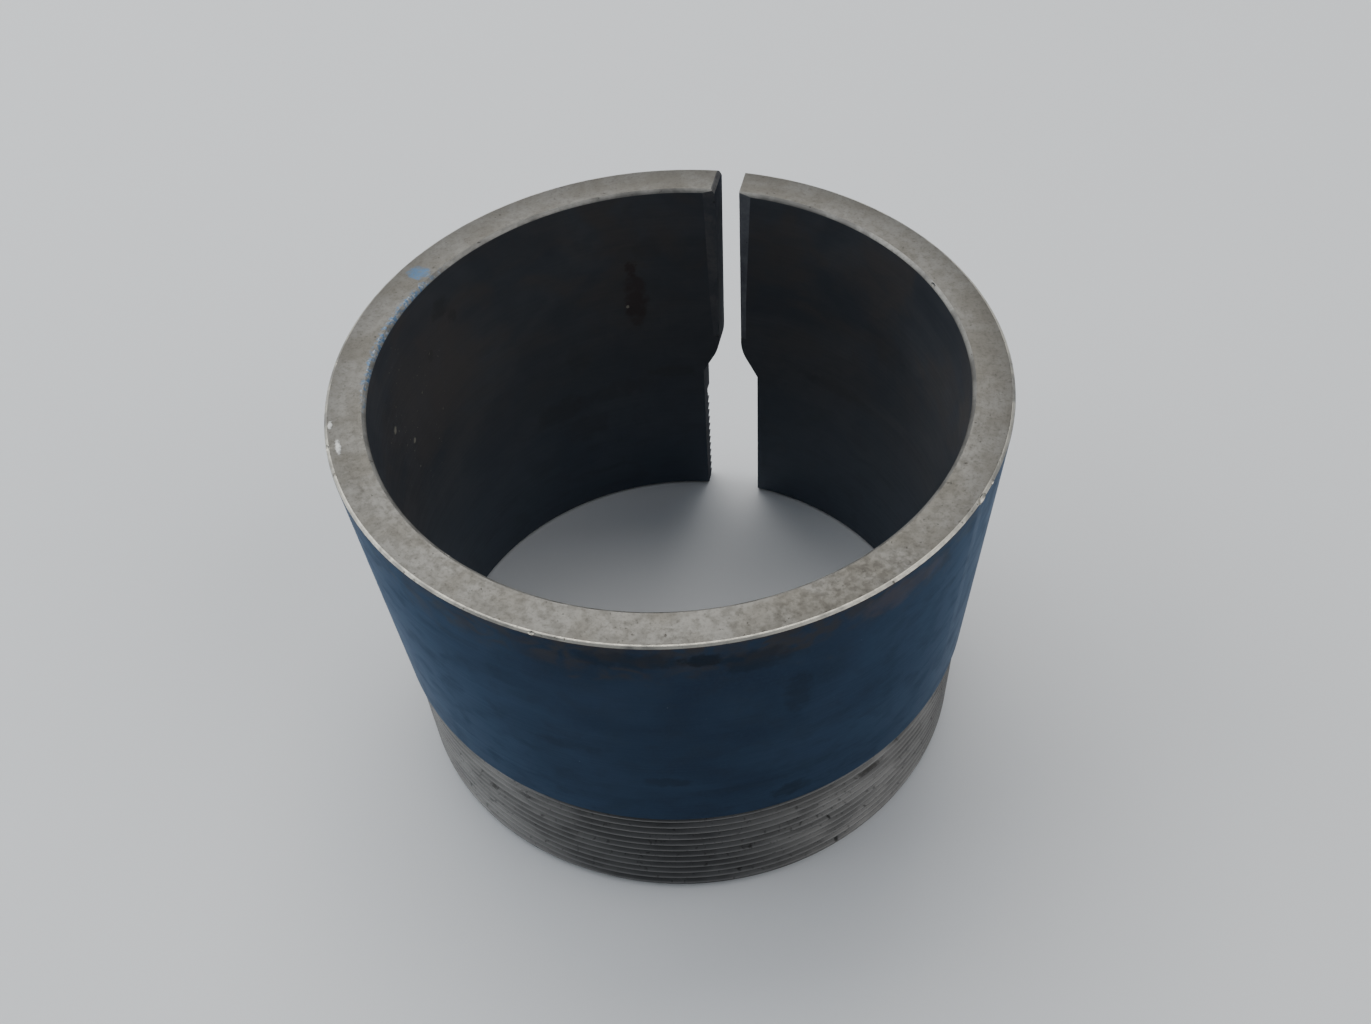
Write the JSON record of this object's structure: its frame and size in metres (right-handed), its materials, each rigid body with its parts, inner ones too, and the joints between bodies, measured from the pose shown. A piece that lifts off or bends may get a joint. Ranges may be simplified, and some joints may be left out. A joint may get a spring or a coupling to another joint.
{
  "type": "bearing adapter sleeve",
  "caption": "Split tapered adapter sleeve with a straight bore, a threaded small end and a lengthwise slot, for clamping a taper-bore bearing on a plain shaft.",
  "frame": {"origin": "on the bore axis, at the threaded end face", "axes": "+Z along the bore axis towards the large end; +Y through the middle of the slot"},
  "size_m": [0.1156, 0.1155, 0.081],
  "materials": {
    "sleeve_steel": "dark oxide on the tapered seat and the bore, bare ground steel on the thread and the end faces"
  },
  "bodies": {
    "root": {"adapter_sleeve": "sleeve_steel"}
  },
  "joints": []
}
